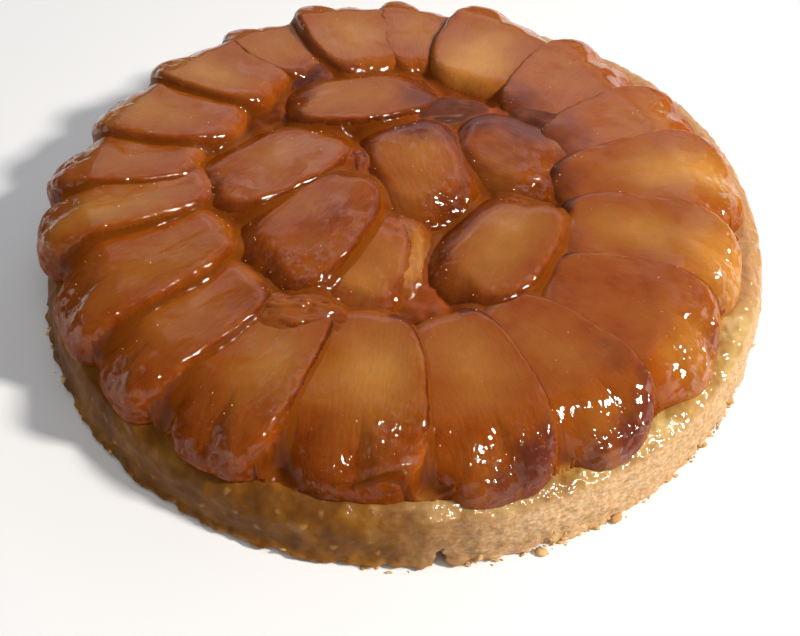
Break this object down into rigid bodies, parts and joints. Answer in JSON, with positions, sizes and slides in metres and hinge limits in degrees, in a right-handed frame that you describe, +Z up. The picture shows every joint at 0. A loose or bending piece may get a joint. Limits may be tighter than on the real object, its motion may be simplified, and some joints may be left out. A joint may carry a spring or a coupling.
{
  "type": "apple tart",
  "caption": "Round upside-down apple tart: a low pastry base with a crumbly rim, and a ring and a rosette of glossy cooked apple slices set in caramel.",
  "frame": {"origin": "middle of the flat underside of the pastry", "axes": "+Z up through the apple, -Y to the front, where the pastry's foot is cracked, +X to the right"},
  "size_m": [0.2308, 0.2315, 0.0402],
  "materials": {
    "crust": "baked pastry, crumbly, glazed in places",
    "caramel": "set caramel jelly, wet gloss",
    "apple": "cooked apple soaked in caramel, translucent, wet gloss",
    "candied": "dark candied peel, translucent, wet gloss"
  },
  "bodies": {
    "root": {"crust": "crust", "caramel": "caramel", "apple_ring_01": "apple", "apple_ring_02": "apple", "apple_ring_03": "apple", "apple_ring_04": "apple", "apple_ring_05": "apple", "apple_ring_06": "apple", "apple_ring_07": "apple", "apple_ring_08": "apple", "apple_ring_09": "apple", "apple_ring_10": "apple", "apple_ring_11": "apple", "apple_ring_12": "apple", "apple_ring_13": "apple", "apple_ring_14": "apple", "apple_ring_15": "apple", "apple_ring_16": "apple", "apple_ring_17": "apple", "apple_ring_18": "apple", "apple_ring_19": "apple", "apple_mid_01": "apple", "apple_mid_02": "apple", "apple_mid_03": "apple", "apple_mid_04": "apple", "apple_mid_05": "apple", "apple_mid_06": "apple", "apple_mid_07": "apple", "apple_mid_08": "apple", "apple_scrap_01": "apple", "apple_scrap_02": "apple", "candied_peel_01": "candied", "candied_peel_02": "candied", "candied_peel_03": "candied", "candied_peel_04": "candied"}
  },
  "joints": []
}
